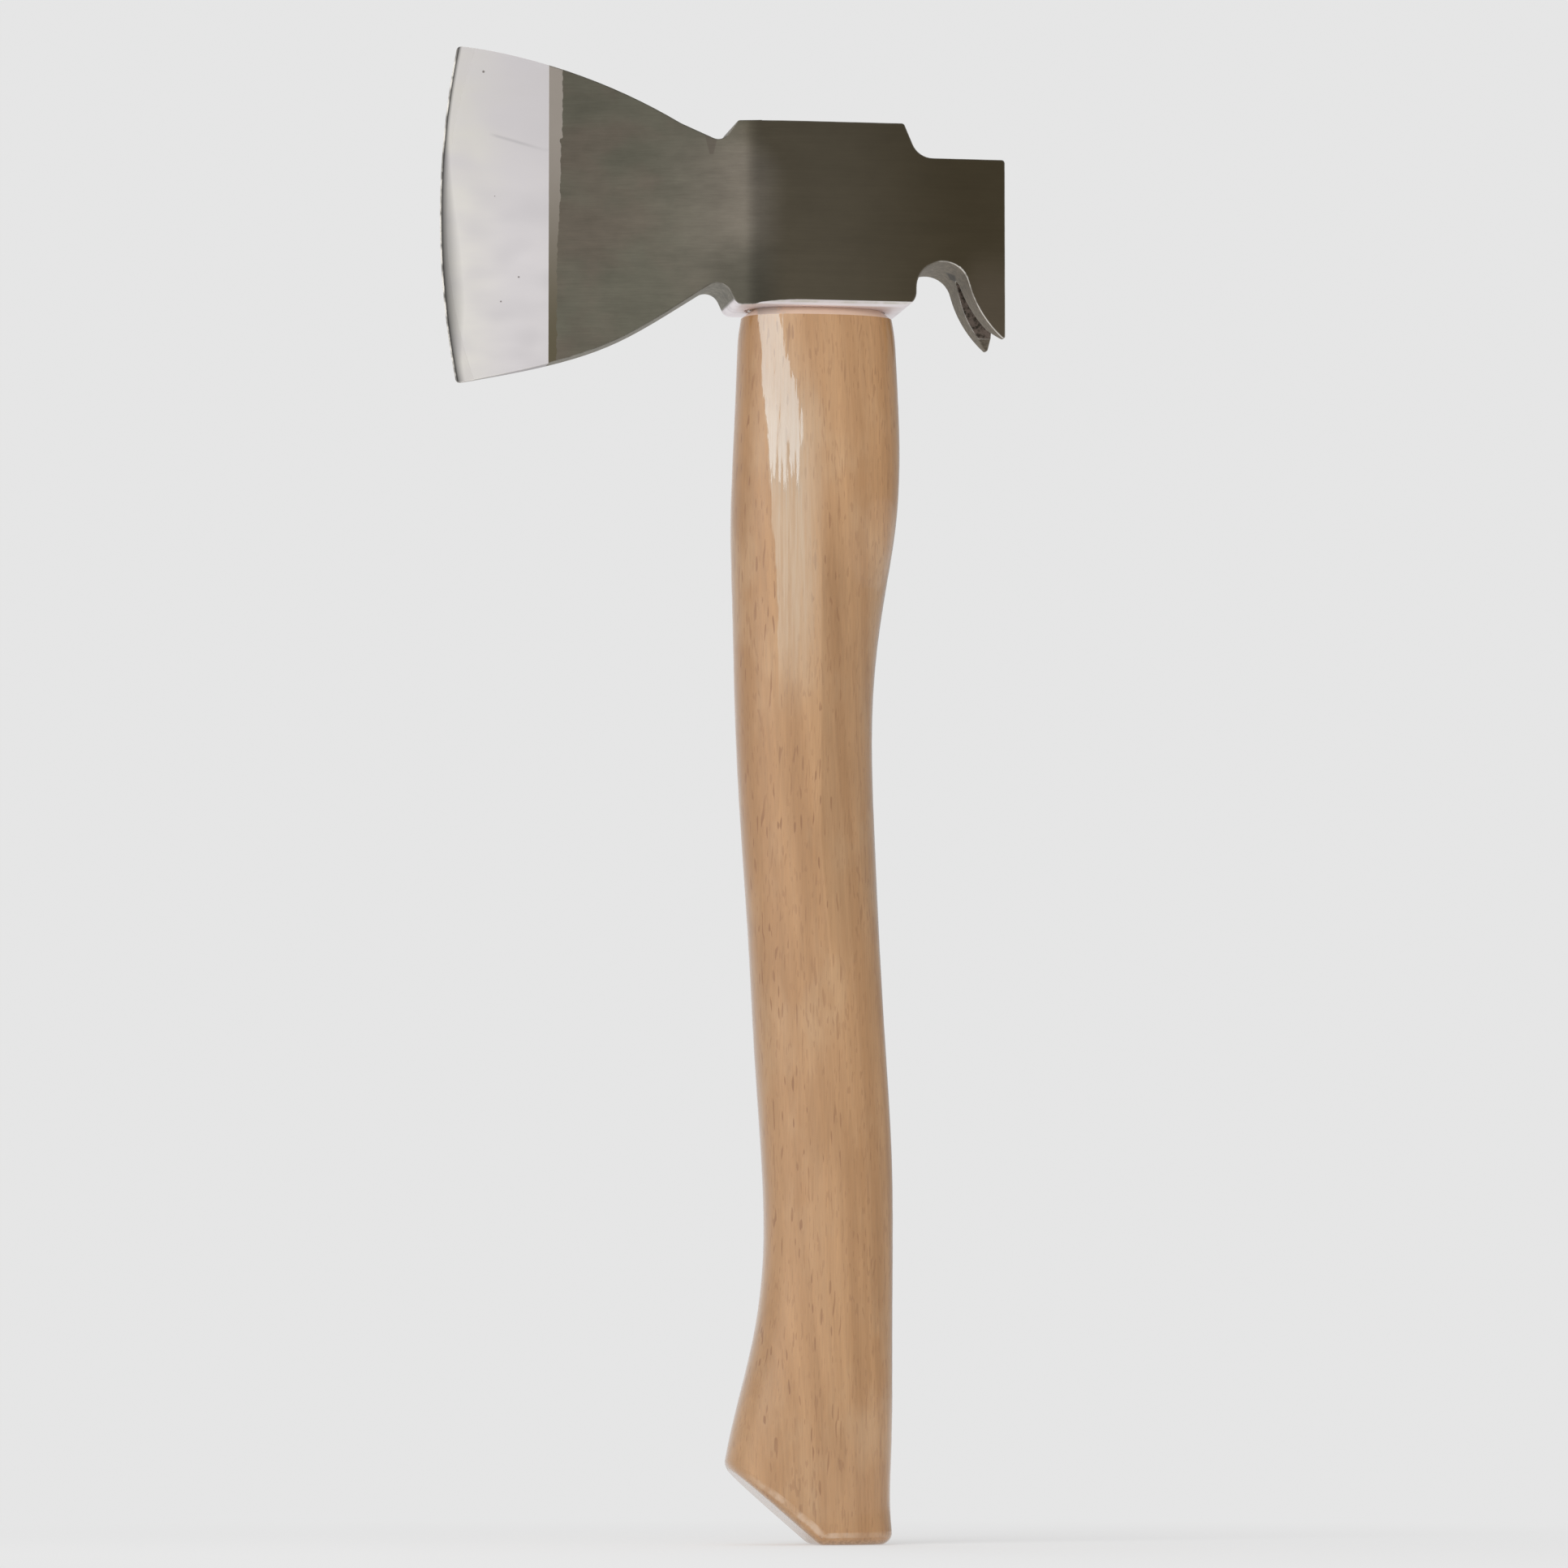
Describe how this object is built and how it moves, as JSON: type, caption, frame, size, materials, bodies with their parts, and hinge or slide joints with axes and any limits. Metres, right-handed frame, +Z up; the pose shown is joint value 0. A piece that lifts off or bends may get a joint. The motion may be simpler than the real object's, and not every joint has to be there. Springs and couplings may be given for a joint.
{
  "type": "hatchet",
  "caption": "Carpenter's hatchet: curved cutting edge, square hammer poll with a nail claw under it, and a curved wooden handle wedged into the eye.",
  "frame": {"origin": "centre of the hand grip, on the handle's plane of symmetry", "axes": "+Z up the handle to the head; the cutting edge faces -X and the hammer face +X; thickness along Y, the object is mirrored across XZ"},
  "size_m": [0.1505, 0.028, 0.3982],
  "materials": {
    "forged_steel": "forged steel under dark clear lacquer, ground bright at the cutting bevel",
    "handle_beech": "clear varnished beech",
    "wedge_beech": "end grain, sawn flush",
    "wedge_steel": "plain steel, filed flush"
  },
  "bodies": {
    "root": {"axe_head": "forged_steel", "handle": "handle_beech", "wooden_wedge": "wedge_beech", "steel_wedge_front": "wedge_steel", "steel_wedge_rear": "wedge_steel"}
  },
  "joints": []
}
